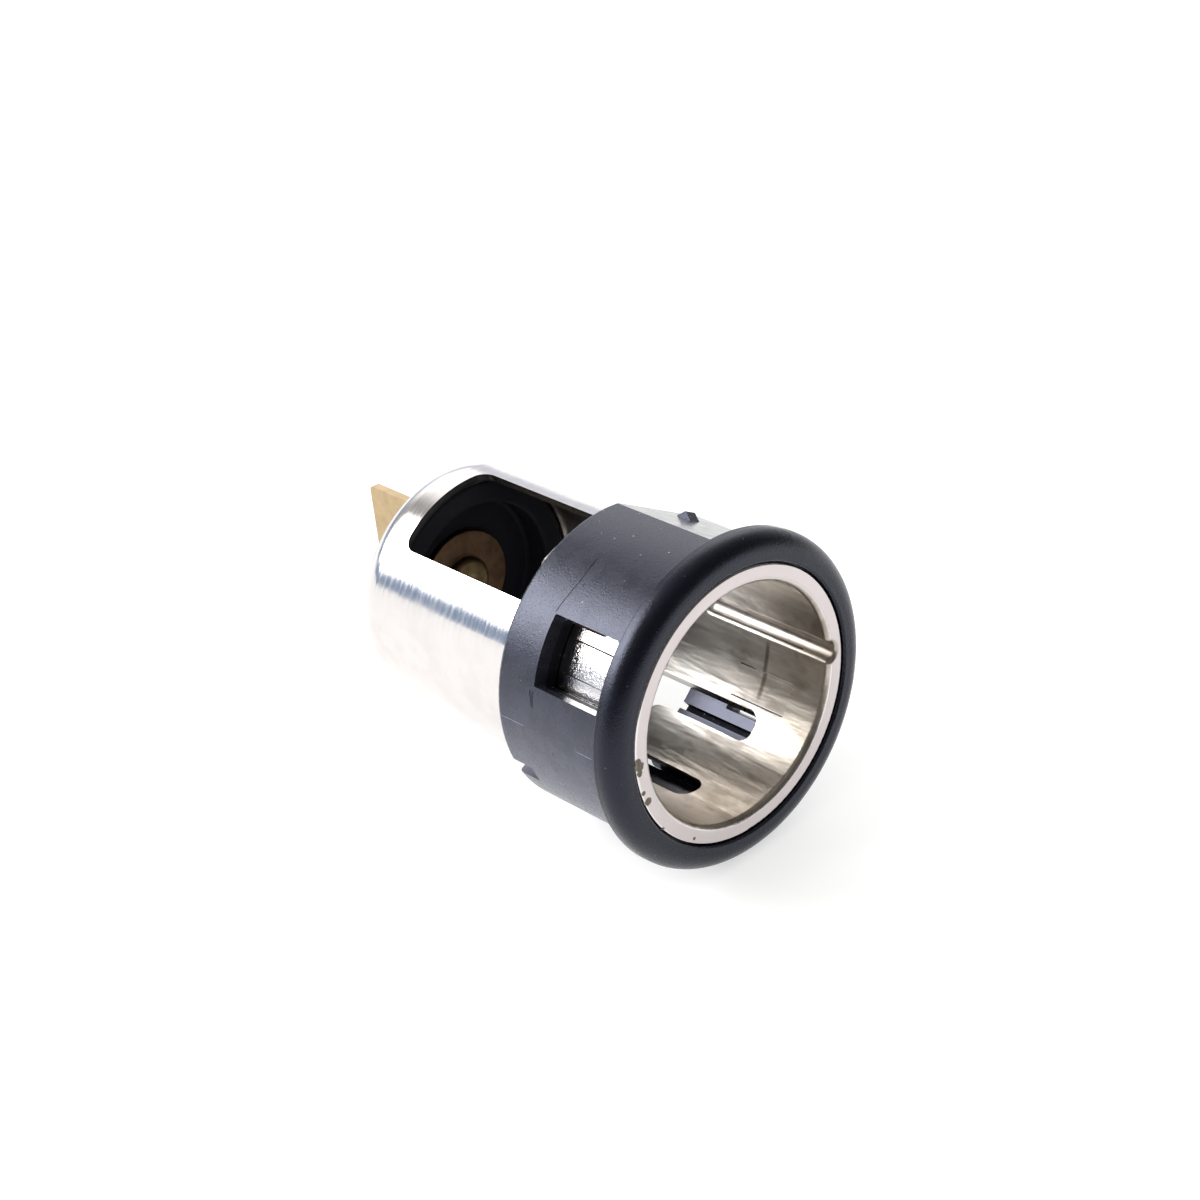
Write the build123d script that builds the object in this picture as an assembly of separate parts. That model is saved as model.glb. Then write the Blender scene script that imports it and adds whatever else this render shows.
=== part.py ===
"""Car 12 V power socket: a drawn steel shell in a moulded collar, with both contacts riveted to its bottom."""

from build123d import *
import math
import os

# Sizes are in millimetres. Depths run back from the front face of the shell's flange.
# Angles are in degrees from the key groove, anticlockwise as seen looking into the mouth.

# Shell, drawn from one sheet
bore_diameter = 21.1
sheet = 0.7
shell_depth = 37.4
bottom_corner = 3.0
flange_width = 0.95
mouth_round = 0.55
flange_edge_round = 0.25
seat_step = 0.2
seat_setback = 0.3

# Key groove, pressed outward from the bore
key_width = 1.9
key_height = 0.9
key_length = 14.0
key_edge_round = 0.4

# Side windows, with a contact finger in each
window_angle = 108.0
window_width = 10.6
window_front = 6.0
window_to_bottom = 4.95
window_corner = 1.2
finger_width = 5.1
finger_length = 11.35
finger_tip_round = 1.1
finger_root_round = 1.0
finger_press = 0.2
root_overlap = 0.6

# Latch tongues, lifted out of the shell into the collar's square windows
latch_angle = 149.0
latch_width = 2.8
latch_length = 6.0
latch_lift = 0.45
latch_slit = 0.12
latch_play = 0.75

# Mounting collar
collar_depth = 15.0
collar_wall = 2.25
collar_clearance = 0.1
collar_rear_round = 0.35
collar_seam_angle = 59.0
bezel_lip = 1.2
bezel_depth = 2.25
bezel_proud = 0.15
bezel_round = 1.65
bezel_back_round = 0.25
neck_corner = 0.15
recess_clearance = 0.13
recess_edge_round = 0.2
square_width = 6.3
square_length = 7.5
square_corner = 0.25
square_draft = 5.0
square_setback = 0.9
key_clearance = 0.15

# Flat and hooks that hold the collar in its panel
flat_angle = 60.5
flat_cut = 1.06
flat_front = 3.0
hook_width = 1.2
hook_offset = 1.6
hook_rise = 0.6
hook_round_rise = 0.2
hook_from_rear = 1.5
hook_ramp = 0.75
hook_top = 0.1
hook_face = 0.75
hook_embed = 0.4

# Rear notches, and the grooves that leave ribs behind the side windows
notch_spread = 37.3
notch_width = 1.8
notch_depth = 2.6
groove_width = 0.65
groove_depth = 0.9
groove_pitch = 6.5
groove_count = 6
groove_shift = 3.25
groove_front = 5.0

# Base insulator: a dish on the shell's bottom with a spigot through it
dish_floor = 1.1
dish_rim_wall = 2.2
dish_rim_round = 0.4
dish_clearance = 0.1
spigot_diameter = 5.8
spigot_clearance = 0.1

# Contact disc and rivet
disc_diameter = 9.8
disc_thickness = 0.6
disc_edge_round = 0.15
rivet_diameter = 3.0
rivet_clearance = 0.05
rivet_head_diameter = 4.8
rivet_head_height = 0.8
rivet_head_round = 0.6
dimple_diameter = 2.0
dimple_depth = 0.5
tail_diameter = 4.2
tail_height = 0.6
tail_round = 0.35
tail_bore_diameter = 1.8
tail_bore_depth = 1.6

# Terminals
blade_width = 6.3
blade_thickness = 0.8
blade_length = 4.3
blade_corner_round = 0.4
bend_inner_round = 0.4
ground_ring_width = 1.9
ground_blade_face = 6.0
positive_ring_width = 1.9
positive_blade_face = 0.75
positive_blade_foot = 1.0
positive_neck_width = 3.4
positive_plate_reach = 2.4
blade_foot_gap = 0.6

# Rear insulator
rear_insulator_radius = 7.2
rear_insulator_thickness = 1.0
rear_insulator_blade_gap = 0.6

# Radii that follow from the sizes above
bore_radius = bore_diameter / 2
seat_radius = bore_radius - seat_step
shell_radius = bore_radius + sheet
flange_radius = shell_radius + flange_width
collar_bore_radius = shell_radius + collar_clearance
neck_radius = collar_bore_radius + collar_wall
bezel_radius = neck_radius + bezel_lip
recess_radius = flange_radius + recess_clearance
flat_radius = neck_radius - flat_cut
key_radius = key_width / 2
key_centre = bore_radius + key_height - key_radius
hole_radius = rivet_diameter / 2 + rivet_clearance
spigot_radius = spigot_diameter / 2
spigot_hole_radius = spigot_radius + spigot_clearance
ground_ring_radius = spigot_hole_radius + ground_ring_width
positive_ring_radius = hole_radius + positive_ring_width

# Depths that follow from the sizes above
shell_floor = shell_depth - sheet
window_rear = shell_depth - window_to_bottom
seat_front = window_rear + seat_setback
square_front = bezel_depth + square_setback
square_rear = square_front + square_length
latch_front = square_front + latch_play
latch_root = latch_front + latch_length
dish_face = shell_floor - dish_floor
disc_face = dish_face - disc_thickness
ground_back = shell_depth + blade_thickness
rear_insulator_back = ground_back + rear_insulator_thickness
positive_back = rear_insulator_back + blade_thickness
tail_end = positive_back + tail_height
blade_front = tail_end + blade_foot_gap
blade_rear = blade_front + blade_length

# Opposite pairs
window_angles = (window_angle, window_angle + 180)
latch_angles = (latch_angle, latch_angle + 180)
hook_opposite_angle = flat_angle + 180
notch_angles = (hook_opposite_angle - notch_spread, hook_opposite_angle + notch_spread)

# A cutter runs this far past the face that it opens
overrun = 2.0

# A corner this close to a line lies on it
on_line = 1e-6

# Places the modelling axis so that the mouth faces -Y, the key groove faces +X and the panel seat is at Y = 0
in_row_frame = Pos(0, -bezel_depth, 0) * Rot(90, 0, 0)


def turned(points, rounds):
    """A solid turned round Z from (radius, height) corners, each with its own rounding."""
    outline = FilletPolyline(*points, radius=rounds, close=True)
    return revolve(Plane.XZ * make_face(outline), Axis.Z)


def turned_sharp(points):
    """A solid turned round Z from sharp (radius, height) corners."""
    return revolve(Plane.XZ * make_face(Polyline(*points, close=True)), Axis.Z)


def rod(radius, front, rear):
    """A round bar along Z between two depths."""
    return Pos(0, 0, -(front + rear) / 2) * Cylinder(radius, rear - front)


def outward(angle, distance=0.0):
    """A plane facing outward at an angle, with its Y along the axis."""
    turn = math.radians(angle)
    across = (-math.sin(turn), math.cos(turn), 0)
    out = (math.cos(turn), math.sin(turn), 0)
    return Plane(origin=(0, 0, 0), x_dir=across, z_dir=out).offset(distance)


def span(width, front, rear, corner=0.0):
    """A rectangle between two depths, with rounded corners if a corner is given."""
    place = Pos(0, -(front + rear) / 2)
    if corner > 0:
        return place * RectangleRounded(width, rear - front, corner)
    return place * Rectangle(width, rear - front)


def radial_prism(angle, outline, start, end, taper=0.0):
    """An outline carried outward from one radius to another."""
    return extrude(outward(angle, start) * outline, amount=end - start, taper=taper)


def key_bar(radius, front, rear):
    """A bar along the key groove with a round rear end."""
    bar = rod(radius, front, rear) + Pos(0, 0, -rear) * Sphere(radius)
    return Pos(key_centre, 0, 0) * bar


def key_edges(cup):
    """The two straight edges where the key groove leaves the bore."""
    straight = cup.edges().filter_by(Axis.Z)
    return [edge for edge in straight if key_radius / 2 < abs(edge.center().Y) < key_radius + sheet / 2]


def fillet_inner_corners(outline, radius):
    """Rounds the corners where a finger meets its window's front edge."""
    corners = [corner for corner in outline.vertices() if abs(corner.Y + window_front) < on_line]
    inner = sorted(corners, key=lambda corner: abs(corner.X))[:2]
    return fillet(inner, radius)


def contact_finger(angle):
    """The strip left standing in a side window, bowed inward so that it presses on the plug."""
    root = window_front - root_overlap
    tip = window_front + finger_length
    middle = (window_front + tip) / 2
    inner = ThreePointArc(
        (bore_radius, -window_front), (bore_radius - finger_press, -middle), (bore_radius, -tip)
    )
    outer = ThreePointArc(
        (shell_radius, -window_front), (shell_radius - finger_press, -middle), (shell_radius, -tip)
    )
    front = Polyline(
        (bore_radius, -window_front), (bore_radius, -root), (shell_radius, -root), (shell_radius, -window_front)
    )
    end = Line((bore_radius, -tip), (shell_radius, -tip))
    bowed_wall = revolve(Plane.XZ * make_face([inner, outer, front, end]), Axis.Z)
    foot = span(finger_width + 4 * finger_root_round, root, window_front)
    strip = fillet_inner_corners(foot + span(finger_width, root, tip - finger_tip_round), finger_root_round)
    rounded_end = span(finger_width, tip - 3 * finger_tip_round, tip, finger_tip_round)
    return bowed_wall & radial_prism(angle, strip + rounded_end, 0, shell_radius + overrun)


def latch_tongue(angle):
    """A tongue on a rear root whose free front end stands out past the shell."""
    root = latch_root + root_overlap
    ramp = turned_sharp(
        [
            (bore_radius, -root),
            (shell_radius, -root),
            (shell_radius, -latch_root),
            (shell_radius + latch_lift, -latch_front),
            (bore_radius + latch_lift, -latch_front),
            (bore_radius, -latch_root),
        ]
    )
    return ramp & radial_prism(angle, span(latch_width, latch_front, root), 0, flange_radius + overrun)


def make_shell():
    """The drawn cup, ironed thinner above the dish's seat, with its flange, key groove, windows and tongues."""
    cup = turned(
        [
            (0, -shell_depth),
            (shell_radius, -shell_depth),
            (shell_radius, -sheet),
            (flange_radius, -sheet),
            (flange_radius, 0),
            (0, 0),
        ],
        [0, bottom_corner, 0, flange_edge_round, flange_edge_round, 0],
    )
    cup += key_bar(key_radius + sheet, sheet / 2, key_length)
    bore = turned(
        [
            (0, -shell_floor),
            (seat_radius, -shell_floor),
            (seat_radius, -seat_front),
            (bore_radius, -seat_front),
            (bore_radius, 0),
            (bore_radius + overrun, 0),
            (bore_radius + overrun, overrun),
            (0, overrun),
        ],
        [0, bottom_corner - sheet, 0, 0, mouth_round, 0, 0, 0],
    )
    cup -= bore
    cup -= key_bar(key_radius, -overrun, key_length)
    cup = fillet(key_edges(cup), key_edge_round)
    cup -= rod(spigot_hole_radius, shell_floor - overrun, shell_depth + overrun)
    for angle in window_angles:
        window = span(window_width, window_front, window_rear, window_corner)
        cup -= radial_prism(angle, window, 0, shell_radius + overrun)
        cup += contact_finger(angle)
    for angle in latch_angles:
        opening = span(latch_width + 2 * latch_slit, latch_front - latch_slit, latch_root)
        cup -= radial_prism(angle, opening, 0, shell_radius + overrun)
        cup += latch_tongue(angle)
    return cup


def hook_side(base_radius, rise):
    """A snap hook's outline: a ramp from the rear and a slope toward the bezel."""
    rear = collar_depth - hook_from_rear
    top_rear = rear - hook_ramp
    top_front = top_rear - hook_top
    front = top_front - hook_face
    return [
        (base_radius - hook_embed, -rear),
        (base_radius, -rear),
        (base_radius + rise, -top_rear),
        (base_radius + rise, -top_front),
        (base_radius, -front),
        (base_radius - hook_embed, -front),
    ]


def flat_hook():
    """The hook that stands on the flat, toward the key groove."""
    side = make_face(Polyline(*hook_side(flat_radius, hook_rise), close=True))
    hook = extrude(Plane.XZ * side, amount=hook_width / 2, both=True)
    return Rot(0, 0, flat_angle) * Pos(0, -hook_offset, 0) * hook


def round_hook():
    """The low hook opposite, which follows the neck's round."""
    ring = turned_sharp(hook_side(neck_radius, hook_round_rise))
    strip = span(hook_width, 0, collar_depth)
    return ring & radial_prism(hook_opposite_angle, strip, 0, neck_radius + overrun)


def make_collar():
    """The moulded ring with its bezel, flange recess, latch windows, flat, hooks and notches."""
    ring = turned(
        [
            (collar_bore_radius, -collar_depth),
            (neck_radius, -collar_depth),
            (neck_radius, -bezel_depth),
            (bezel_radius, -bezel_depth),
            (bezel_radius, bezel_proud),
            (recess_radius, bezel_proud),
            (recess_radius, -sheet),
            (collar_bore_radius, -sheet),
        ],
        [0, collar_rear_round, neck_corner, bezel_back_round, bezel_round, recess_edge_round, 0, 0],
    )
    flat = span(2 * neck_radius, flat_front, collar_depth + overrun)
    collar = Rot(0, 0, collar_seam_angle) * ring
    collar -= radial_prism(flat_angle, flat, flat_radius, neck_radius + overrun)
    collar += flat_hook()
    collar += round_hook()
    collar -= key_bar(key_radius + sheet + key_clearance, -overrun, collar_depth + overrun)
    for angle in latch_angles:
        spread = overrun * math.tan(math.radians(square_draft))
        opening = span(square_width + 2 * spread, square_front - spread, square_rear + spread, square_corner)
        collar -= radial_prism(angle, opening, neck_radius + overrun, bore_radius, square_draft)
    for angle in notch_angles:
        notch = span(notch_width, collar_depth - notch_depth, collar_depth + overrun)
        collar -= radial_prism(angle, notch, bore_radius, neck_radius + overrun)
    for angle in window_angles:
        for place in range(groove_count):
            turn = angle + groove_shift + (place - (groove_count - 1) / 2) * groove_pitch
            groove = span(groove_width, groove_front, collar_depth + overrun)
            collar -= radial_prism(turn, groove, bore_radius, collar_bore_radius + groove_depth)
    return collar


def make_base_insulator():
    """The black dish that lines the shell's bottom, with the bush that passes through it."""
    rim_radius = seat_radius - dish_clearance
    rim_inner_radius = rim_radius - dish_rim_wall
    return turned(
        [
            (hole_radius, -ground_back),
            (spigot_radius, -ground_back),
            (spigot_radius, -shell_floor),
            (rim_radius, -shell_floor),
            (rim_radius, -seat_front),
            (rim_inner_radius, -seat_front),
            (rim_inner_radius, -dish_face),
            (hole_radius, -dish_face),
        ],
        [0, 0, 0, bottom_corner - sheet, dish_rim_round, dish_rim_round, dish_rim_round, 0],
    )


def make_contact_disc():
    """The disc that the plug's tip presses on."""
    disc_radius = disc_diameter / 2
    return turned(
        [
            (hole_radius, -dish_face),
            (disc_radius, -dish_face),
            (disc_radius, -disc_face),
            (hole_radius, -disc_face),
        ],
        [0, 0, disc_edge_round, 0],
    )


def make_rivet():
    """The hollow-ended rivet that clamps the whole stack, with a dimpled head."""
    head_top = disc_face - rivet_head_height
    tail_bore_start = tail_end - tail_bore_depth
    shank_radius = rivet_diameter / 2
    dimple_radius = dimple_diameter / 2
    tail_bore_radius = tail_bore_diameter / 2
    return turned(
        [
            (0, -(head_top + dimple_depth)),
            (dimple_radius, -head_top),
            (rivet_head_diameter / 2, -head_top),
            (rivet_head_diameter / 2, -disc_face),
            (shank_radius, -disc_face),
            (shank_radius, -positive_back),
            (tail_diameter / 2, -positive_back),
            (tail_diameter / 2, -tail_end),
            (tail_bore_radius, -tail_end),
            (tail_bore_radius, -tail_bore_start),
            (0, -tail_bore_start),
        ],
        [0, 0, rivet_head_round, 0, 0, 0, 0, tail_round, 0, 0, 0],
    )


def tab(front, foot):
    """A blade that runs to the rear, drawn across the axis from its foot, with a rounded end."""
    middle = foot + blade_width / 2
    outline = Pos(middle, -(front + blade_rear) / 2) * Rectangle(blade_width, blade_rear - front)
    tip = outline.vertices().sort_by(Axis.Y)[:2]
    return fillet(tip, blade_corner_round)


def bent_strip(front, start, face, low, high, rear):
    """A strip that lies flat along X from its start and turns rearward into a blade's root."""
    back = front + blade_thickness
    side = FilletPolyline(
        (start, -front),
        (face + blade_thickness, -front),
        (face + blade_thickness, -rear),
        (face, -rear),
        (face, -back),
        (start, -back),
        radius=[0, bend_inner_round + blade_thickness, 0, 0, bend_inner_round, 0],
        close=True,
    )
    strip = extrude(Plane.XZ * make_face(side), amount=(high - low) / 2, both=True)
    return Pos(0, (low + high) / 2, 0) * strip


def make_ground_terminal():
    """A ring against the outside of the shell's bottom, with a blade bent rearward."""
    half = blade_width / 2
    root_rear = ground_back + bend_inner_round
    terminal = rod(ground_ring_radius, shell_depth, ground_back)
    terminal += bent_strip(shell_depth, 0, ground_blade_face, -half, half, root_rear + blade_thickness)
    terminal += extrude(Plane.YZ.offset(ground_blade_face) * tab(root_rear, -half), amount=blade_thickness)
    return terminal - rod(spigot_hole_radius, shell_depth - overrun, ground_back + overrun)


def make_positive_terminal():
    """A ring under the rivet's tail, with a blade bent rearward from a neck beside it."""
    top = positive_blade_foot + blade_width
    neck_foot = top - positive_neck_width
    face = positive_blade_face
    link = Rectangle(positive_plate_reach + face, top, align=(Align.MIN, Align.MIN))
    terminal = rod(positive_ring_radius, rear_insulator_back, positive_back)
    terminal += extrude(Pos(-positive_plate_reach, 0, -positive_back) * link, amount=blade_thickness)
    terminal += bent_strip(
        rear_insulator_back, -positive_plate_reach, face, neck_foot, top, blade_front + blade_thickness
    )
    terminal += extrude(Plane.YZ.offset(face) * tab(blade_front, positive_blade_foot), amount=blade_thickness)
    terminal -= rod(hole_radius, rear_insulator_back - overrun, tail_end)
    return mirror(terminal, Plane.YZ)


def make_rear_insulator():
    """The washer between the two terminals, cut straight beside the ground blade."""
    washer = rod(rear_insulator_radius, ground_back, rear_insulator_back)
    washer -= rod(hole_radius, ground_back - overrun, rear_insulator_back + overrun)
    edge = ground_blade_face - rear_insulator_blade_gap
    beyond = Pos(edge + rear_insulator_radius, 0, -rear_insulator_back) * Box(
        2 * rear_insulator_radius, 2 * rear_insulator_radius, 4 * rear_insulator_thickness
    )
    return washer - beyond


pieces = {
    "shell": make_shell,
    "mounting_collar": make_collar,
    "base_insulator": make_base_insulator,
    "contact_disc": make_contact_disc,
    "centre_rivet": make_rivet,
    "ground_terminal": make_ground_terminal,
    "rear_insulator": make_rear_insulator,
    "positive_terminal": make_positive_terminal,
}

os.makedirs("parts", exist_ok=True)
for name, make in pieces.items():
    export_step(in_row_frame * make(), f"parts/{name}.step")
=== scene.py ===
"""Car 12 V power socket: materials, mould marks, floor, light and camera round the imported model."""

import bpy
import math
from mathutils import Matrix, Vector


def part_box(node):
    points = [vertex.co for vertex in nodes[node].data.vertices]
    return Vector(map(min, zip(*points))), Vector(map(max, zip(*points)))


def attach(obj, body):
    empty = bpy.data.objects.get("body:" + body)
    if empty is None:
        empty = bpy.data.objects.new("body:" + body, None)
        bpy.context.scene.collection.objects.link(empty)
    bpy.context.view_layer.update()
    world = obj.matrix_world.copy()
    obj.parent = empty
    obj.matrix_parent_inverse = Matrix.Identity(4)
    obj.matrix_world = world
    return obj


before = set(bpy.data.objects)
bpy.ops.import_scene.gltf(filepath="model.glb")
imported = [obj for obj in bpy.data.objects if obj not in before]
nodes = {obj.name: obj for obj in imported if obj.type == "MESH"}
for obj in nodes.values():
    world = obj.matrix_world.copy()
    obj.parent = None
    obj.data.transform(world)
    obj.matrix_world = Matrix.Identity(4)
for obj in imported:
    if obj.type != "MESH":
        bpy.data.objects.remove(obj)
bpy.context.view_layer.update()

# Sizes on the part are in millimetres. Angles are in degrees from the key groove, anticlockwise
# as seen looking into the mouth.
MM = 0.001
FLANGE_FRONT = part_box("shell")[0].y / MM
NECK_RADIUS = 13.6
COLLAR_BORE_RADIUS = 11.35
BORE_RADIUS = 10.55
SHEET = 0.7
WINDOW_REAR = 30.5
KEY_CENTRE = 10.5
KEY_REACH = 1.3
FLAT_ANGLE = 60.5


# Shader graphs
class Graph:
    """A node tree with short calls for adding and joining nodes."""

    MIX_FACTOR, MIX_FIRST, MIX_SECOND, MIX_RESULT = 0, 6, 7, 2  # the Mix node's RGBA sockets

    def __init__(self, tree):
        self.tree = tree
        tree.nodes.clear()

    def add(self, kind, inputs=None, **settings):
        made = self.tree.nodes.new("ShaderNode" + kind)
        for name, value in settings.items():
            setattr(made, name, value)
        for name, value in (inputs or {}).items():
            self.feed(made.inputs[name], value)
        return made

    def feed(self, socket, value):
        if isinstance(value, bpy.types.NodeSocket):
            self.tree.links.new(value, socket)
        else:
            socket.default_value = value

    def math(self, operation, first, second=0.0, clamp=False):
        made = self.add("Math", operation=operation, use_clamp=clamp)
        self.feed(made.inputs[0], first)
        self.feed(made.inputs[1], second)
        return made.outputs[0]

    def product(self, *values):
        result = values[0]
        for value in values[1:]:
            result = self.math("MULTIPLY", result, value)
        return result

    def inverse(self, mask):
        return self.math("SUBTRACT", 1.0, mask)

    def dot(self, vector, direction):
        made = self.add("VectorMath", operation="DOT_PRODUCT")
        self.feed(made.inputs[0], vector)
        self.feed(made.inputs[1], direction)
        return made.outputs["Value"]

    def length(self, vector):
        return self.add("VectorMath", {0: vector}, operation="LENGTH").outputs["Value"]

    def true_normal(self):
        return self.add("NewGeometry").outputs["True Normal"]

    def noise(self, vector, scale=1.0, detail=2.0, roughness=0.5, distortion=0.0):
        made = self.add("TexNoise", {"Vector": vector, "Scale": scale})
        made.inputs["Detail"].default_value = detail
        made.inputs["Roughness"].default_value = roughness
        made.inputs["Distortion"].default_value = distortion
        return made.outputs["Fac"]

    def stretched(self, vector, stretch):
        return self.add("Mapping", {"Vector": vector, "Scale": stretch}).outputs["Vector"]

    def dots(self, vector, scale, reach):
        """A mask of round dots, one to a cell, each as large as reach says there."""
        cells = self.add("TexVoronoi", {"Vector": vector, "Scale": scale, "Randomness": 1.0})
        cells.feature = "F1"
        return self.math("LESS_THAN", cells.outputs["Distance"], reach)

    def ranged(self, value, low, high, out_low=0.0, out_high=1.0):
        """A smooth step between two values."""
        made = self.add("MapRange", interpolation_type="SMOOTHSTEP")
        self.feed(made.inputs["Value"], value)
        made.inputs["From Min"].default_value = low
        made.inputs["From Max"].default_value = high
        made.inputs["To Min"].default_value = out_low
        made.inputs["To Max"].default_value = out_high
        return made.outputs["Result"]

    def below(self, value, low, high):
        """1 under the first value, 0 over the second."""
        return self.ranged(value, low, high, 1.0, 0.0)

    def between(self, value, low, high, soft):
        """1 between two values, 0 outside, with soft sides."""
        above = self.ranged(value, low - soft, low + soft)
        below = self.below(value, high - soft, high + soft)
        return self.product(above, below)

    def mix(self, factor, first, second):
        made = self.add("Mix", data_type="RGBA")
        self.feed(made.inputs[self.MIX_FACTOR], factor)
        self.feed(made.inputs[self.MIX_FIRST], first)
        self.feed(made.inputs[self.MIX_SECOND], second)
        return made.outputs[self.MIX_RESULT]

    def bump(self, height, distance, normal=None):
        """A bump whose full height is a distance in millimetres."""
        made = self.add("Bump", {"Height": height, "Distance": distance * MM, "Strength": 1.0})
        if normal is not None:
            self.feed(made.inputs["Normal"], normal)
        return made.outputs["Normal"]


class Places:
    """Where a point is, in the row frame's millimetres.

    wrapped is the same place as (arc, depth, radius) round the axis.
    """

    ARC_RADIUS = 12.0

    def __init__(self, graph):
        coords = graph.add("TexCoord").outputs["Object"]
        self.mm = graph.stretched(coords, (1 / MM, 1 / MM, 1 / MM))
        parts = graph.add("SeparateXYZ", {"Vector": self.mm}).outputs
        self.x, self.y, self.z = parts["X"], parts["Y"], parts["Z"]
        turn = graph.math("ARCTAN2", graph.product(self.z, -1.0), graph.product(self.x, -1.0))
        flat = graph.add("CombineXYZ", {"X": self.x, "Z": self.z}).outputs["Vector"]
        self.radius = graph.length(flat)
        self.outward = graph.add("VectorMath", {0: flat}, operation="NORMALIZE").outputs["Vector"]
        arc = graph.product(turn, self.ARC_RADIUS)
        wrapped = graph.add("CombineXYZ", {"X": arc, "Y": self.y, "Z": self.radius})
        self.wrapped = wrapped.outputs["Vector"]


def material(name):
    made = bpy.data.materials.new(name)
    made.use_nodes = True
    graph = Graph(made.node_tree)
    shader = graph.add("BsdfPrincipled")
    output = graph.add("OutputMaterial")
    graph.feed(output.inputs["Surface"], shader.outputs["BSDF"])
    return made, graph, shader


# Nickel plate: colours, then where they are on the shell
PLATE_LIGHT = (0.705, 0.675, 0.66, 1)
PLATE_DARK = (0.665, 0.635, 0.62, 1)
# Deeper in, the bore is painted brighter than the plate. This is painted light standing in for light
# that comes in through the windows. Nearer the mouth it is darker.
BORE_PAINTED_LIGHT = (0.96, 0.92, 0.875, 1)
BORE_NEAR_MOUTH = (0.5, 0.455, 0.4, 1)
BORE_STREAK = (0.36, 0.32, 0.275, 1)
BORE_STAIN = (0.27, 0.232, 0.185, 1)
BORE_SHADED = (0.16, 0.145, 0.13, 1)
FLANGE_FACE = (0.6, 0.55, 0.545, 1)
PINHOLE = (0.22, 0.19, 0.15, 1)
RUB_MARK = (0.13, 0.1, 0.08, 1)
CUT_EDGE_SHADE = (0.03, 0.03, 0.035, 1)
WORN_SPOT = (0.15, 0.125, 0.09, 1)
NEAR_MOUTH_DEPTHS = (0.0, 13.0)
NEAR_MOUTH_UNEVEN = 9.0
STAINED_DEPTHS = (8.0, 12.0)
SHADED_DEPTHS = (11.0, 15.0)
SHADED_HEIGHTS = (1.5, 4.5)
COVERED_DEPTHS = (0.5, 11.5)
RUB_DEPTHS = (4.65, 5.05)
RUB_HEIGHTS = (-6.3, -1.5)
RUB_SIDE = (0.0, 1.0)
# Worn spots on the flange: (x, z, reach)
FLANGE_PITS = [
    (-11.92, 0.5, 0.42),
    (-11.75, 0.05, 0.5),
    (-11.84, -0.55, 0.34),
    (-11.64, -2.53, 0.26),
    (-11.26, -3.5, 0.42),
    (-9.98, -6.87, 0.2),
    (-6.69, -9.59, 0.18),
]


def worn_spots(graph, at):
    """A mask of ragged spots on the flange."""
    ragged = graph.product(graph.noise(at.mm, 5.0, detail=3.0, roughness=0.7), 0.7)
    spots = 0.0
    for x, z, reach in FLANGE_PITS:
        away = graph.add("VectorMath", operation="DISTANCE")
        graph.feed(away.inputs[0], at.mm)
        away.inputs[1].default_value = (x, FLANGE_FRONT, z)
        near = graph.math("ADD", graph.math("DIVIDE", away.outputs["Value"], reach), ragged)
        spots = graph.math("MAXIMUM", spots, graph.below(near, 1.1, 1.3))
    return spots


def cut_edges(graph, at):
    """A mask of the sheared faces of the sheet, inside the windows."""
    radial = graph.math("ABSOLUTE", graph.dot(graph.true_normal(), at.outward))
    in_wall = graph.between(at.radius, BORE_RADIUS - 0.25, BORE_RADIUS + SHEET + 0.15, 0.02)
    behind_flange = graph.between(at.y, 1.0, WINDOW_REAR, 0.05)
    return graph.product(graph.below(radial, 0.35, 0.55), in_wall, behind_flange)


def inner_faces(graph, at):
    """A mask of the sheet's inner side: the bore, the key groove and the tongues' inner faces."""
    facing_in = graph.below(graph.dot(graph.true_normal(), at.outward), -0.6, -0.4)
    in_bore = graph.below(at.radius, BORE_RADIUS + 0.1, BORE_RADIUS + 0.3)
    across = graph.math("SUBTRACT", at.x, KEY_CENTRE)
    from_key = graph.add("CombineXYZ", {"X": across, "Z": at.z}).outputs["Vector"]
    in_key = graph.below(graph.length(from_key), KEY_REACH - 0.1, KEY_REACH + 0.1)
    return graph.math("MAXIMUM", graph.math("MAXIMUM", facing_in, in_bore), in_key)


def bore_tone(graph, at, streaks, smudges):
    """Darker near the mouth and painted brighter behind that, a painted light; with streaks, stains
    and painted shade at the dark upper end.
    """
    # Painted light: behind the mouth the bore is painted bright, and near the mouth it is darker.
    uneven = graph.product(graph.math("SUBTRACT", smudges, 0.5), NEAR_MOUTH_UNEVEN)
    near_mouth = graph.below(graph.math("ADD", at.y, uneven), *NEAR_MOUTH_DEPTHS)
    tone = graph.mix(near_mouth, BORE_PAINTED_LIGHT, BORE_NEAR_MOUTH)
    tone = graph.mix(graph.ranged(streaks, 0.45, 0.7, 0.0, 0.35), tone, BORE_STREAK)
    stains = graph.ranged(smudges, 0.45, 0.68, 0.0, 0.6)
    tone = graph.mix(graph.product(stains, graph.below(at.y, *STAINED_DEPTHS)), tone, BORE_STAIN)
    shaded = graph.product(
        graph.ranged(at.z, *SHADED_HEIGHTS), graph.ranged(at.y, *SHADED_DEPTHS), 0.85
    )
    return graph.mix(shaded, tone, BORE_SHADED)


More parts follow.
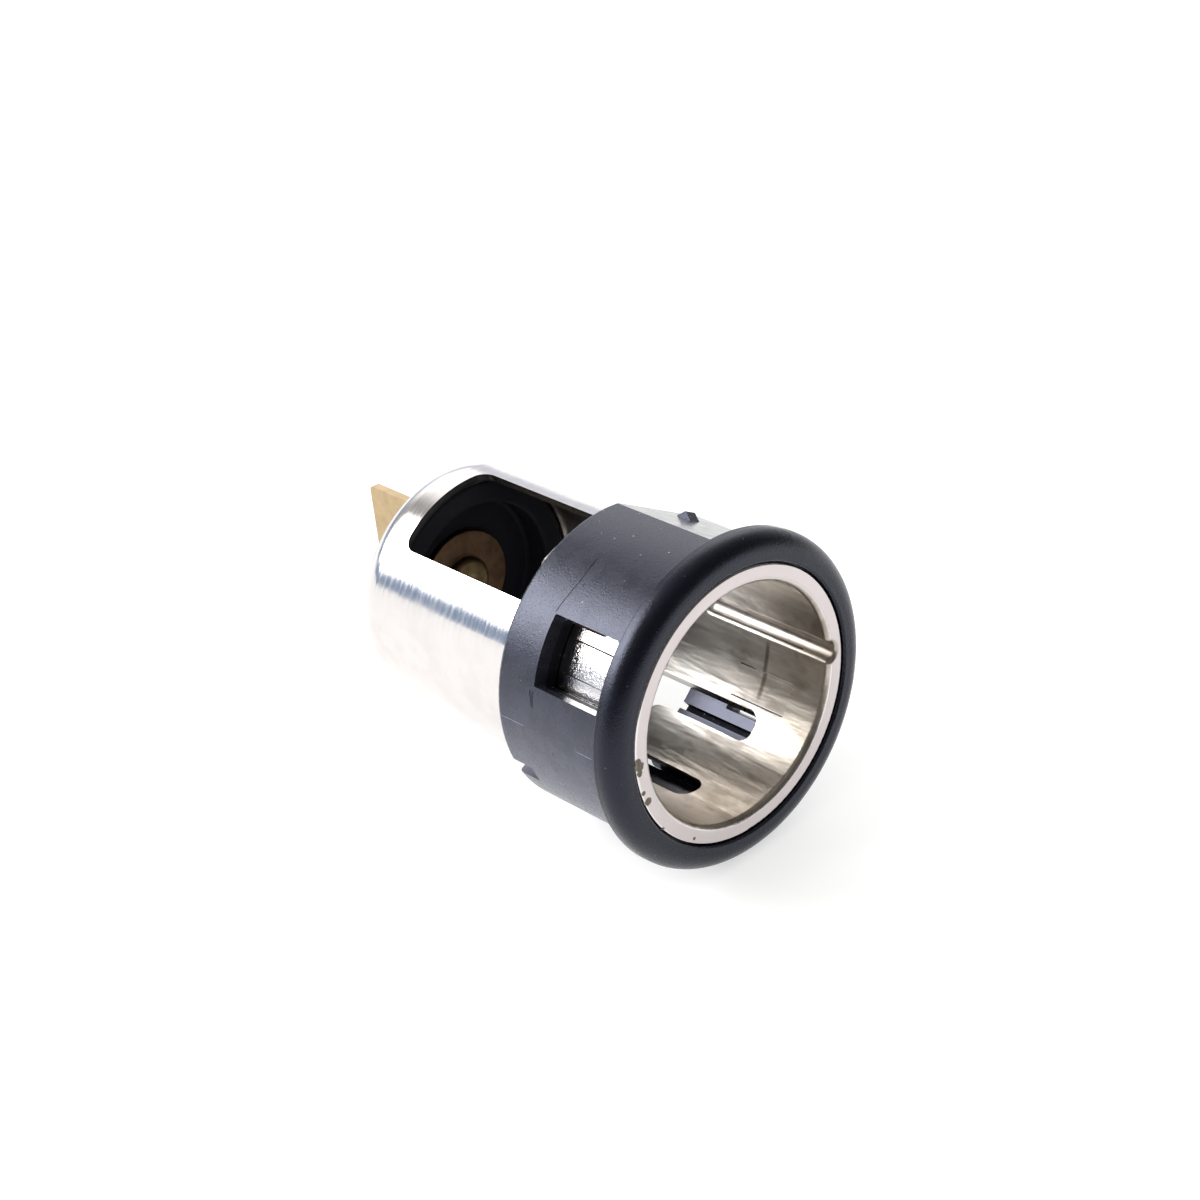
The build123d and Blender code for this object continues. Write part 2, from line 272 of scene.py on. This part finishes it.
def nickel():
    """Bright nickel plate with cut edges painted near black as painted shade, spots of wear, and
    painted light and painted shade in the bore.

    Polish lines run round it outside, and drawn streaks run along it inside.
    """
    made, graph, shader = material("nickel_plate")
    at = Places(graph)
    ring_places = graph.stretched(at.wrapped, (0.3, 3.2, 1.0))
    rings = graph.noise(ring_places, detail=3.0, roughness=0.6)
    fine_places = graph.stretched(at.wrapped, (0.9, 11.0, 2.0))
    fine = graph.noise(fine_places, detail=2.0, roughness=0.6)
    dents = graph.noise(at.mm, 0.22, detail=2.0, roughness=0.5)
    clouds = graph.noise(at.mm, 0.35, detail=4.0, roughness=0.6)
    streak_places = graph.stretched(at.wrapped, (0.9, 0.16, 0.4))
    streaks = graph.noise(streak_places, detail=2.0, roughness=0.5)
    smudge_places = graph.stretched(at.wrapped, (0.5, 0.32, 0.4))
    smudges = graph.noise(smudge_places, detail=3.0, roughness=0.55, distortion=0.3)
    speckle = graph.noise(at.mm, 5.0, detail=2.0, roughness=0.7)
    inside = inner_faces(graph, at)
    outside = graph.inverse(inside)
    covered = graph.product(outside, graph.between(at.y, *COVERED_DEPTHS, 0.5))
    facing_front = graph.ranged(graph.dot(graph.true_normal(), (0.0, -1.0, 0.0)), 0.9, 0.98)
    at_front = graph.below(at.y, FLANGE_FRONT + 0.3, FLANGE_FRONT + 0.6)
    front = graph.product(facing_front, at_front)
    pin_reach = graph.noise(at.mm, 0.6, detail=1.0, roughness=0.5)
    pinholes = graph.dots(at.mm, 1.1, graph.ranged(pin_reach, 0.5, 0.8, 0.0, 0.09))
    rub = graph.product(
        graph.between(at.y, *RUB_DEPTHS, 0.14), graph.between(at.z, *RUB_HEIGHTS, 0.5), inside
    )
    edges = cut_edges(graph, at)
    spots = worn_spots(graph, at)

    tone = graph.mix(graph.ranged(clouds, 0.35, 0.7), PLATE_LIGHT, PLATE_DARK)
    tone = graph.mix(inside, tone, bore_tone(graph, at, streaks, smudges))
    tone = graph.mix(front, tone, FLANGE_FACE)
    tone = graph.mix(graph.product(pinholes, front, 0.8), tone, PINHOLE)
    tone = graph.mix(graph.product(rub, 0.75, graph.ranged(at.x, *RUB_SIDE)), tone, RUB_MARK)
    # Painted shade: the sheet's cut edges inside the windows are painted near black.
    tone = graph.mix(graph.product(edges, 0.97), tone, CUT_EDGE_SHADE)
    tone = graph.mix(graph.product(spots, 0.9), tone, WORN_SPOT)
    graph.feed(shader.inputs["Base Color"], tone)
    shader.inputs["Metallic"].default_value = 1.0

    ringed = graph.ranged(rings, 0.3, 0.75, 0.12, 0.2)
    streaked = graph.ranged(streaks, 0.3, 0.7, 0.3, 0.4)
    rough = graph.math("ADD", graph.product(ringed, outside), graph.product(streaked, inside))
    for mask, rougher in ((front, 0.16), (edges, 0.25), (spots, 0.3)):
        rough = graph.math("ADD", rough, graph.product(mask, rougher))
    graph.feed(shader.inputs["Roughness"], rough)

    normal = graph.bump(dents, 0.05)
    normal = graph.bump(graph.product(rings, outside), 0.007, normal)
    normal = graph.bump(graph.product(fine, outside), 0.0012, normal)
    normal = graph.bump(graph.product(streaks, inside), 0.06, normal)
    normal = graph.bump(graph.product(speckle, covered), 0.03, normal)
    normal = graph.bump(graph.product(spots, -1.0), 0.03, normal)
    graph.feed(shader.inputs["Normal"], normal)
    return made


# Mouldings
# Painted shade: the floors and walls of the neck's grooves are painted near black.
GROOVE_PAINTED_SHADE = (0.002, 0.002, 0.003, 1)
DUST = (0.42, 0.42, 0.44, 1)
NECK_DEPTHS = (-0.1, 0.3)
# Painted sheen: over these heights the neck's pale layer fades from full at the bottom to a fifth at
# the top.
PAINTED_SHEEN_HEIGHTS = (-6.0, 7.0)
SMOOTH_ROUGHNESS = 0.14


def moulded(name, colour, pale, roughness, grain, dust, index, tint):
    """Fine-grained moulding with a pale hazy layer that is partly a painted sheen, paler towards the
    bottom, and painted shade in the neck's grooves; thin scratches and dust, and a smooth bore and
    flat.
    """
    made, graph, shader = material(name)
    at = Places(graph)
    fine = graph.noise(at.mm, 6.5, detail=2.0, roughness=0.7)
    broad = graph.noise(at.mm, 0.5, detail=4.0, roughness=0.6)
    scratch_places = graph.stretched(at.wrapped, (0.5, 5.0, 0.5))
    scratch = graph.noise(scratch_places, detail=4.0, roughness=0.75, distortion=1.5)
    lines = graph.product(graph.ranged(scratch, 0.70, 0.76), 0.35)
    neck = graph.ranged(at.y, *NECK_DEPTHS)
    outside = graph.ranged(at.radius, COLLAR_BORE_RADIUS + 0.75, COLLAR_BORE_RADIUS + 1.05)
    in_grooves = graph.between(
        at.radius, COLLAR_BORE_RADIUS + 0.1, COLLAR_BORE_RADIUS + 1.0, 0.05
    )
    hollow = graph.product(in_grooves, neck)
    bore = graph.below(at.radius, COLLAR_BORE_RADIUS + 0.02, COLLAR_BORE_RADIUS + 0.08)
    turn = math.radians(FLAT_ANGLE)
    facing = graph.dot(graph.true_normal(), (math.cos(turn), 0.0, math.sin(turn)))
    flat = graph.product(graph.ranged(facing, 0.995, 0.999), outside)

    # Painted sheen: the pale layer is strongest towards the bottom and stands in for the floor's
    # light on the neck. Its broad noise is real haze.
    painted_sheen_below = graph.ranged(at.z, *PAINTED_SHEEN_HEIGHTS, 1.0, 0.2)
    haze_and_painted_sheen = graph.product(graph.ranged(broad, 0.25, 0.75, 0.6, 1.0), painted_sheen_below, neck, outside)
    worn_and_painted_sheen = graph.math("ADD", haze_and_painted_sheen, graph.product(lines, neck), clamp=True)
    # The grooves (hollow) are painted near black: painted shade.
    tone = graph.mix(hollow, graph.mix(worn_and_painted_sheen, colour, pale), GROOVE_PAINTED_SHADE)
    speck_reach = graph.noise(at.mm, 0.8, detail=1.0, roughness=0.5)
    speck_reach = graph.ranged(speck_reach, 0.42, 0.75, 0.0, 0.1)
    speck_reach = graph.math("ADD", speck_reach, graph.product(hollow, 0.07))
    specks = graph.product(graph.dots(at.mm, 1.6, speck_reach), dust)
    dusty = graph.math("ADD", graph.product(neck, 0.7), 0.3)
    tone = graph.mix(graph.product(specks, dusty), tone, DUST)
    graph.feed(shader.inputs["Base Color"], tone)

    rough = graph.ranged(broad, 0.3, 0.7, roughness - 0.03, roughness + 0.05)
    smooth = graph.product(graph.math("MAXIMUM", bore, flat), roughness - SMOOTH_ROUGHNESS)
    rough = graph.math("SUBTRACT", rough, smooth)
    rough = graph.math("ADD", rough, graph.product(hollow, 0.4), clamp=True)
    graph.feed(shader.inputs["Roughness"], rough)
    shader.inputs["IOR"].default_value = index
    shader.inputs["Specular Tint"].default_value = tint

    textured = graph.product(outside, graph.inverse(flat))
    normal = graph.bump(graph.product(fine, textured), grain)
    normal = graph.bump(scratch, 0.002, normal)
    graph.feed(shader.inputs["Normal"], normal)
    return made


# Strip, turned metal and laminate
LINE_DEPTH = 0.003
FIBRE_LIGHT = (0.33, 0.175, 0.075, 1)
FIBRE_DARK = (0.22, 0.11, 0.045, 1)


def metal(name, bright, dull, smoothest, roughest, line_stretch):
    """Rolled strip or turned metal: lines, tarnish and small dents."""
    made, graph, shader = material(name)
    at = Places(graph)
    lines = graph.noise(graph.stretched(at.mm, line_stretch), detail=3.0, roughness=0.6)
    tarnish = graph.noise(at.mm, 0.7, detail=5.0, roughness=0.65)
    tone = graph.mix(graph.ranged(tarnish, 0.35, 0.7), bright, dull)
    graph.feed(shader.inputs["Base Color"], tone)
    shader.inputs["Metallic"].default_value = 1.0
    rough = graph.ranged(lines, 0.3, 0.7, smoothest, roughest)
    graph.feed(shader.inputs["Roughness"], rough)
    normal = graph.bump(lines, LINE_DEPTH)
    normal = graph.bump(tarnish, 0.012, normal)
    graph.feed(shader.inputs["Normal"], normal)
    return made


def paper():
    """Punched brown laminate with a faint fibre."""
    made, graph, shader = material("hard_paper")
    at = Places(graph)
    fibre_places = graph.stretched(at.mm, (9.0, 9.0, 1.2))
    fibre = graph.noise(fibre_places, detail=4.0, roughness=0.65)
    tone = graph.mix(graph.ranged(fibre, 0.35, 0.7), FIBRE_LIGHT, FIBRE_DARK)
    graph.feed(shader.inputs["Base Color"], tone)
    graph.feed(shader.inputs["Roughness"], graph.ranged(fibre, 0.3, 0.7, 0.45, 0.65))
    graph.feed(shader.inputs["Normal"], graph.bump(fibre, 0.01))
    return made


collar_plastic = moulded(
    "collar_plastic",
    colour=(0.003, 0.0034, 0.006, 1),
    pale=(0.08, 0.085, 0.113, 1),
    roughness=0.26,
    grain=0.03,
    dust=0.8,
    index=1.46,
    tint=(0.72, 0.76, 1.0, 1),
)
insulator_plastic = moulded(
    "insulator_plastic",
    colour=(0.018, 0.018, 0.023, 1),
    pale=(0.02, 0.02, 0.025, 1),
    roughness=0.65,
    grain=0.008,
    dust=0.0,
    index=1.1,
    tint=(1.0, 1.0, 1.0, 1),
)
bronze = metal(
    "bronze",
    bright=(0.17, 0.106, 0.064, 1),
    dull=(0.11, 0.068, 0.041, 1),
    smoothest=0.42,
    roughest=0.55,
    line_stretch=(6, 6, 1),
)
rivet_brass = metal(
    "rivet_brass",
    bright=(0.2, 0.148, 0.078, 1),
    dull=(0.12, 0.086, 0.046, 1),
    smoothest=0.36,
    roughest=0.5,
    line_stretch=(4, 4, 4),
)
blade_brass = metal(
    "blade_brass",
    bright=(0.5, 0.375, 0.22, 1),
    dull=(0.42, 0.315, 0.18, 1),
    smoothest=0.32,
    roughest=0.44,
    line_stretch=(9, 0.6, 9),
)
looks = {
    "shell": nickel(),
    "mounting_collar": collar_plastic,
    "base_insulator": insulator_plastic,
    "contact_disc": bronze,
    "centre_rivet": rivet_brass,
    "ground_terminal": blade_brass,
    "rear_insulator": paper(),
    "positive_terminal": blade_brass,
}
for name, look in looks.items():
    mesh = nodes[name].data
    mesh.materials.clear()
    mesh.materials.append(look)


# Mould marks on the neck: thin ridges along (angle, depth behind the flange's front) paths, with
# their width and rise
STEP_ANGLE = 1.5
SUNK = 0.03
RIDGES = [
    ("parting_rear", [(179.0, 11.8), (179.0, 14.5)], 0.11, 0.03),
    ("parting_front", [(179.0, 3.6), (179.0, 5.4)], 0.11, 0.025),
    ("insert_line", [(135.6, 10.75), (127.7, 10.35), (122.4, 10.15), (111.6, 10.2)], 0.1, 0.035),
    ("short_line", [(124.2, 9.55), (121.8, 9.6)], 0.09, 0.03),
    ("flash_upper", [(163.5, 10.75), (167.0, 10.7), (171.0, 10.6)], 0.3, 0.06),
    ("flash_lower", [(163.5, 11.15), (167.0, 10.9), (171.0, 10.75)], 0.3, 0.05),
    ("nick_near", [(184.3, 8.4), (185.8, 8.6)], 0.12, 0.03),
    ("nick_far", [(192.3, 8.7), (193.8, 8.9)], 0.12, 0.03),
]


def on_neck(angle, depth, rise):
    turn = math.radians(angle)
    radius = NECK_RADIUS + rise
    return Vector((radius * math.cos(turn), depth + FLANGE_FRONT, radius * math.sin(turn))) * MM


def smooth_path(points):
    """The path with enough points to follow the round."""
    path = [points[0]]
    for (a0, d0), (a1, d1) in zip(points, points[1:]):
        steps = max(1, math.ceil(abs(a1 - a0) / STEP_ANGLE))
        for step in range(1, steps + 1):
            share = step / steps
            path.append((a0 + (a1 - a0) * share, d0 + (d1 - d0) * share))
    return path


def make_ridge(name, points, width, rise):
    """A ridge of three-cornered section, sunk a little into the neck.

    Its ends taper, unless it is one straight step long.
    """
    path = smooth_path(points)
    per_degree = math.radians(1) * NECK_RADIUS
    (a0, d0), (a1, d1) = path[0], path[-1]
    along = Vector(((a1 - a0) * per_degree, d1 - d0)).normalized()
    side_angle, side_depth = -along.y / per_degree * width / 2, along.x * width / 2
    corners = []
    for place, (angle, depth) in enumerate(path):
        top = rise if 0 < place < len(path) - 1 or len(path) == 2 else 0.0
        corners.append(on_neck(angle - side_angle, depth - side_depth, -SUNK))
        corners.append(on_neck(angle, depth, top))
        corners.append(on_neck(angle + side_angle, depth + side_depth, -SUNK))
    faces = [(0, 1, 2), (len(corners) - 1, len(corners) - 2, len(corners) - 3)]
    for place in range(len(path) - 1):
        near, far = 3 * place, 3 * place + 3
        for corner in range(3):
            other = (corner + 1) % 3
            faces.append((near + corner, far + corner, far + other, near + other))
    mesh = bpy.data.meshes.new(name)
    mesh.from_pydata(corners, [], faces)
    mesh.validate()
    mesh.materials.append(collar_plastic)
    ridge = bpy.data.objects.new(name, mesh)
    bpy.context.scene.collection.objects.link(ridge)
    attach(ridge, "root")


for ridge in RIDGES:
    make_ridge(*ridge)


# Floor, in metres: the part lies on its bezel and the rear edge of its neck, so the floor slopes
BEZEL_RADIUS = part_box("mounting_collar")[1].x
BEZEL_FOOT = -0.4 * MM
NECK_FOOT = 12.4 * MM
FLOOR_GAP = 0.02 * MM
FLOOR_SLOPE = (BEZEL_RADIUS - NECK_RADIUS * MM) / (NECK_FOOT - BEZEL_FOOT)
FLOOR_HALF = 4.0
FLOOR_FADE = (0.6, 1.6)
FLOOR_GLOW = 1.22
FLOOR_ROUGHNESS = 0.7
FLOOR_NEAR = (0.5, 0.5, 0.498, 1)
FLOOR_FAR = (0.3, 0.33, 0.37, 1)


def floor_height(y):
    return FLOOR_SLOPE * (y - BEZEL_FOOT) - BEZEL_RADIUS - FLOOR_GAP


def make_floor():
    sides = ((-1, -1), (1, -1), (1, 1), (-1, 1))
    corners = [(x * FLOOR_HALF, y * FLOOR_HALF, floor_height(y * FLOOR_HALF)) for x, y in sides]
    mesh = bpy.data.meshes.new("floor")
    mesh.from_pydata(corners, [], [(0, 1, 2, 3)])
    floor = bpy.data.objects.new("floor", mesh)
    bpy.context.scene.collection.objects.link(floor)
    made, graph, shader = material("floor_white")
    far = graph.length(graph.add("TexCoord").outputs["Object"])
    tone = graph.mix(graph.ranged(far, *FLOOR_FADE), FLOOR_NEAR, FLOOR_FAR)
    graph.feed(shader.inputs["Base Color"], tone)
    graph.feed(shader.inputs["Emission Color"], tone)
    shader.inputs["Emission Strength"].default_value = FLOOR_GLOW
    shader.inputs["Roughness"].default_value = FLOOR_ROUGHNESS
    shader.inputs["Specular IOR Level"].default_value = 0.0
    mesh.materials.append(made)


# Light: the strengths are radiances, where the white floor is a little over 1
# Soft boxes: (azimuth, elevation, outer half-angle, inner half-angle, strength)
LEFT_BOX = (-38, 31, 26, 9, 12.5)
RIGHT_BOX = (42, 30, 36, 12, 1.5)
TENT = 0.34
TENT_TONE = (1.0, 0.995, 0.99, 1)
TENT_MIDDLE = (0, 20)
TENT_EDGE = (-0.25, 0.35)
GAP = 0.42
GAP_TOP = (0.2, 0.35)
GAP_LEFT = (0.3, 0.56, 1.0, 1)
GAP_RIGHT = (1.6, 1.65, 1.9, 1)
GAP_TURN = (0.0, 0.5)
ROOM = 0.12
ROOM_TONE = (1.0, 0.97, 0.92, 1)
BACKDROP = 1.0
BACKDROP_TONE = (0.93, 0.935, 0.94, 1)
BLACK = (0, 0, 0, 1)
FILL_SIZE = 4.0
FILL_HEIGHT = 1.2
FILL_POWER = 30.0


def direction(azimuth, elevation):
    """A unit vector; azimuth turns from +Y toward +X."""
    turn, rise = math.radians(azimuth), math.radians(elevation)
    level = math.cos(rise)
    return Vector((math.sin(turn) * level, math.cos(turn) * level, math.sin(rise)))


def make_world():
    """A dim tent behind with two soft boxes in it, a gap over the horizon, and a dark near side.

    The light itself is out of sight: the backdrop is plain and pale.
    """
    world = bpy.data.worlds.new("studio")
    bpy.context.scene.world = world
    world.use_nodes = True
    graph = Graph(world.node_tree)
    way = graph.add("TexCoord").outputs["Generated"]
    height = graph.add("SeparateXYZ", {"Vector": way}).outputs["Z"]

    def soft_box(azimuth, elevation, outer, inner, strength):
        toward = graph.dot(way, direction(azimuth, elevation))
        edge = math.cos(math.radians(outer)), math.cos(math.radians(inner))
        return graph.ranged(toward, *edge, 0.0, strength)

    def glow(tone, strength):
        made = graph.add("Background", {"Color": tone, "Strength": strength})
        return made.outputs["Background"]

    def together(first, second):
        return graph.add("AddShader", {0: first, 1: second}).outputs["Shader"]

    boxes = graph.math("ADD", soft_box(*LEFT_BOX), soft_box(*RIGHT_BOX))
    above_gap = graph.ranged(height, *GAP_TOP)
    behind = graph.ranged(graph.dot(way, direction(*TENT_MIDDLE)), *TENT_EDGE)
    tent_tone = graph.mix(graph.product(above_gap, behind), BLACK, TENT_TONE)
    tent = glow(tent_tone, graph.math("ADD", boxes, TENT))
    toward_right = graph.ranged(graph.dot(way, (1.0, 0.0, 0.0)), *GAP_TURN)
    gap_tone = graph.mix(toward_right, GAP_LEFT, GAP_RIGHT)
    in_gap = graph.product(graph.inverse(above_gap), behind)
    gap = glow(graph.mix(in_gap, BLACK, gap_tone), GAP)
    light = together(together(tent, gap), glow(ROOM_TONE, ROOM))
    seen = graph.add("LightPath").outputs["Is Camera Ray"]
    backdrop = glow(BACKDROP_TONE, BACKDROP)
    shown = graph.add("MixShader", {0: seen, 1: light, 2: backdrop})
    output = graph.add("OutputWorld")
    graph.feed(output.inputs["Surface"], shown.outputs["Shader"])


def make_fill():
    """A wide overhead light that brightens the floor and stays out of reflections."""
    data = bpy.data.lights.new("fill", "AREA")
    data.shape = "DISK"
    data.size = FILL_SIZE
    data.energy = FILL_POWER
    fill = bpy.data.objects.new("fill", data)
    bpy.context.scene.collection.objects.link(fill)
    fill.location = (0.0, 0.0, FILL_HEIGHT)
    fill.visible_glossy = False
    fill.visible_camera = False


# Camera: place in metres, and the ways of its right, up and back; lens and sensor in millimetres
CAMERA_PLACE = (-0.12085, -0.12843, 0.10755)
CAMERA_RIGHT = Vector((0.72388, -0.68314, -0.09658))
CAMERA_UP = Vector((0.39468, 0.29521, 0.87011))
CAMERA_BACK = Vector((-0.56589, -0.66796, 0.48331))
CAMERA_LENS = 75.0
CAMERA_SENSOR = 36.0
CAMERA_CLIP = (0.005, 50.0)


def make_camera():
    """The camera stands front left of the mouth and above it."""
    data = bpy.data.cameras.new("camera")
    data.lens = CAMERA_LENS
    data.sensor_width = CAMERA_SENSOR
    data.clip_start, data.clip_end = CAMERA_CLIP
    camera = bpy.data.objects.new("camera", data)
    bpy.context.scene.collection.objects.link(camera)
    turn = Matrix((CAMERA_RIGHT, CAMERA_UP, CAMERA_BACK)).transposed().to_4x4()
    camera.matrix_world = Matrix.Translation(CAMERA_PLACE) @ turn
    bpy.context.scene.camera = camera


make_floor()
make_world()
make_fill()
make_camera()
bpy.context.scene.view_settings.view_transform = "Standard"
